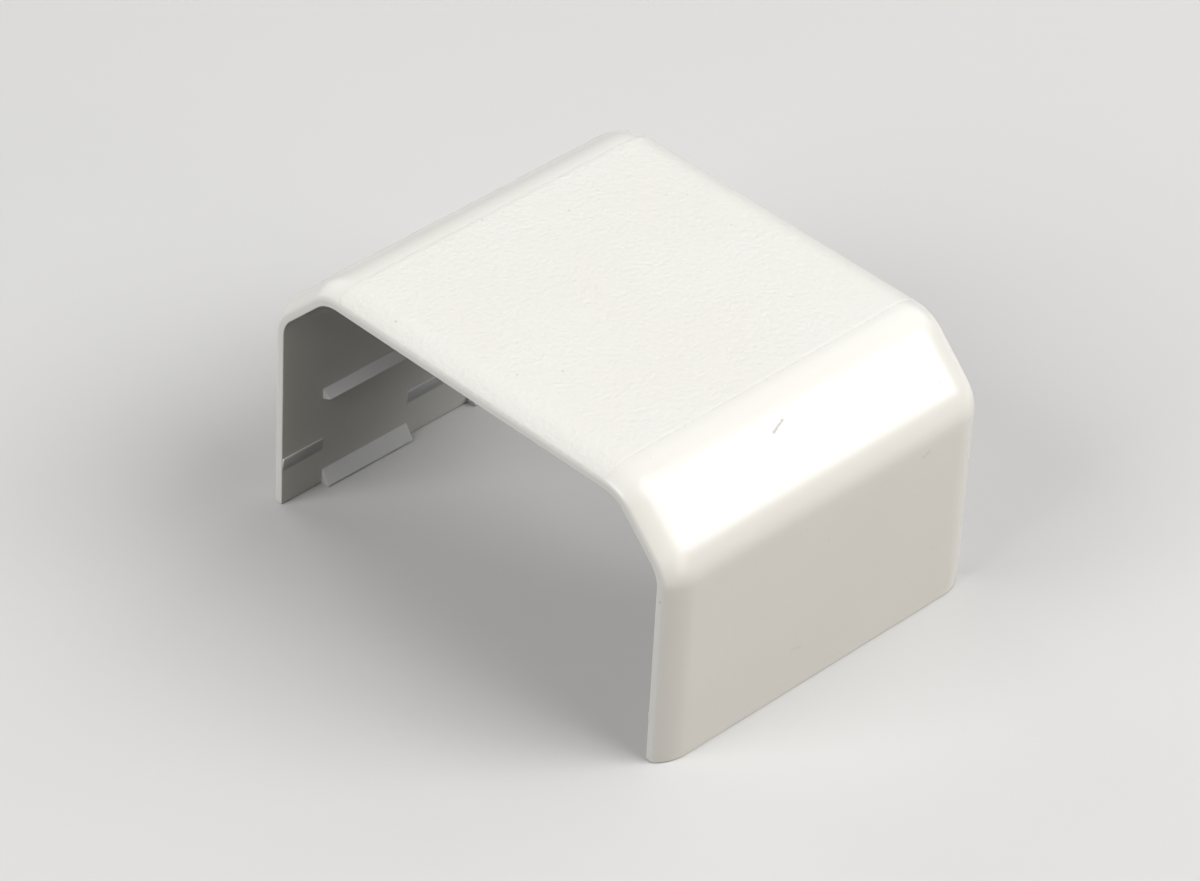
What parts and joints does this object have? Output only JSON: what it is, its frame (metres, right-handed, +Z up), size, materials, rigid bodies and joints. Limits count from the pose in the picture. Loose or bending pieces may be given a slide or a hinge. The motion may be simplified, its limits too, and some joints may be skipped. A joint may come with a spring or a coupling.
{
  "type": "raceway cover clip",
  "caption": "Push-fit cover clip for surface raceway: open-ended channel with sloped shoulders, stippled top and inner latch hooks.",
  "frame": {"origin": "midway between the two feet and the two rims, on the surface that the feet stand on", "axes": "+X across the raceway, +Y along the raceway, +Z up, away from the wall that the raceway is fixed to"},
  "size_m": [0.0606, 0.0462, 0.0329],
  "materials": {
    "ivory_plastic": "glossy moulded ivory plastic with a fine stipple on the top face"
  },
  "bodies": {
    "root": {"cover_clip": "ivory_plastic"}
  },
  "joints": []
}
